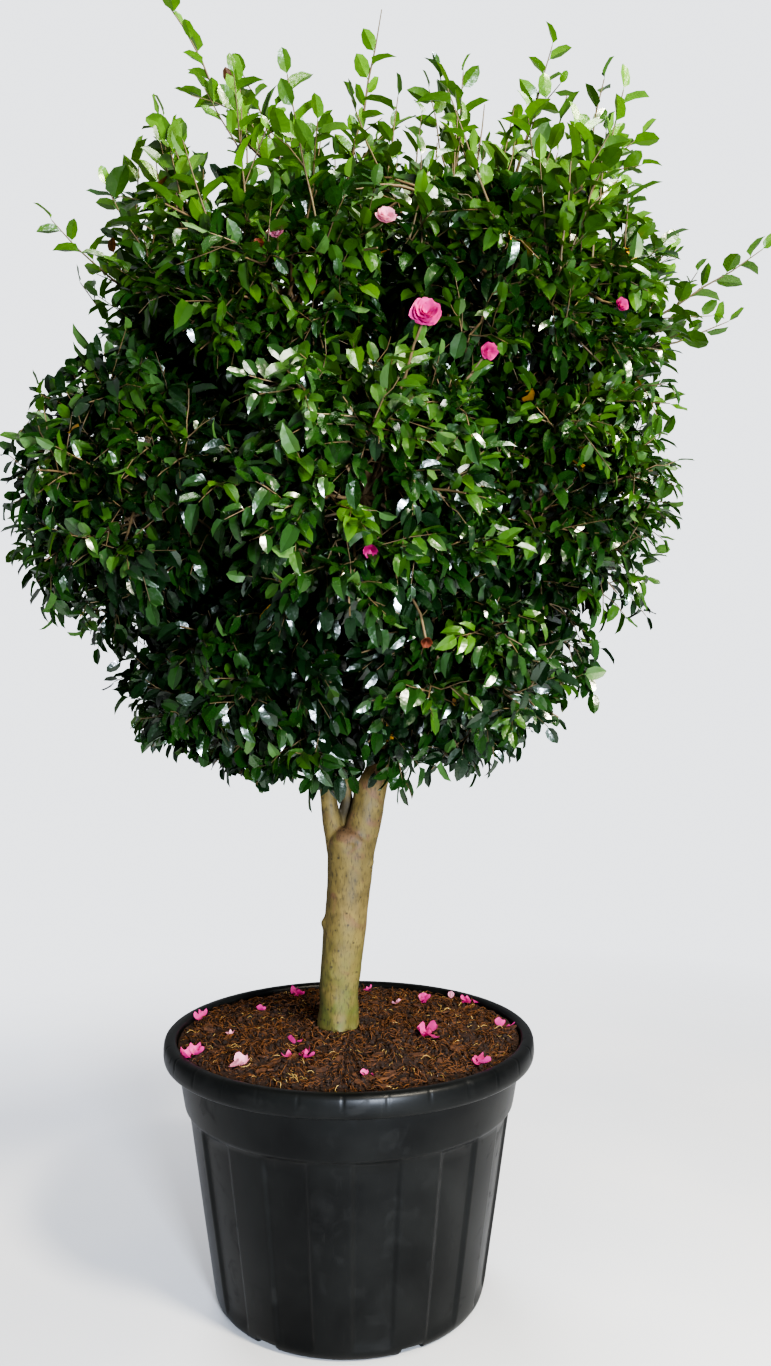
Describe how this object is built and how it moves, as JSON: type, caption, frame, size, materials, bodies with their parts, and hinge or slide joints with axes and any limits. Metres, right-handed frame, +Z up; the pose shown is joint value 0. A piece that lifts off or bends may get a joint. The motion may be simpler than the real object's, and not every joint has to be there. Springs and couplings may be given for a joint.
{
  "type": "camellia shrub in a nursery pot",
  "caption": "Evergreen camellia shrub grown as a small standard tree: forked trunk, dense rounded leafy head with long shoots and a few pink blooms, in a black nursery pot.",
  "frame": {"origin": "centre of the pot's flat underside", "axes": "+Z up along the trunk, +Y towards the back, +X to the right seen from the front"},
  "size_m": [1.4634, 1.2748, 2.4083],
  "materials": {
    "pot": "moulded black polypropylene, satin, lightly scuffed and dusty",
    "soil": "loose red-brown potting mix of coir and bark fibres with fallen petals",
    "bark": "smooth olive-tan bark with a thin green bloom towards the foot",
    "foliage": "glossy dark green leaves, younger ones bright yellow-green"
  },
  "bodies": {
    "root": {"bough_belly_1": "bark", "bough_belly_2": "bark", "bough_belly_3": "bark", "bough_belly_4": "bark", "bough_belly_5": "bark", "bough_belly_6": "bark", "bough_shoulder_1": "bark", "bough_shoulder_2": "bark", "bough_shoulder_3": "bark", "bough_shoulder_4": "bark", "bough_shoulder_5": "bark", "bough_skirt_1": "bark", "bough_skirt_2": "bark", "bough_skirt_3": "bark", "bough_skirt_4": "bark", "bough_skirt_5": "bark", "bough_top_1": "bark", "bough_top_2": "bark", "bough_top_3": "bark", "foliage_belly_1": "foliage", "foliage_belly_2": "foliage", "foliage_belly_3": "foliage", "foliage_belly_4": "foliage", "foliage_belly_5": "foliage", "foliage_belly_6": "foliage", "foliage_shoulder_1": "foliage", "foliage_shoulder_2": "foliage", "foliage_shoulder_3": "foliage", "foliage_shoulder_4": "foliage", "foliage_shoulder_5": "foliage", "foliage_skirt_1": "foliage", "foliage_skirt_2": "foliage", "foliage_skirt_3": "foliage", "foliage_skirt_4": "foliage", "foliage_skirt_5": "foliage", "foliage_top_1": "foliage", "foliage_top_2": "foliage", "foliage_top_3": "foliage", "leader_left": "bark", "leader_right": "bark", "pot": "pot", "soil": "soil", "trunk": "bark"}
  },
  "joints": []
}
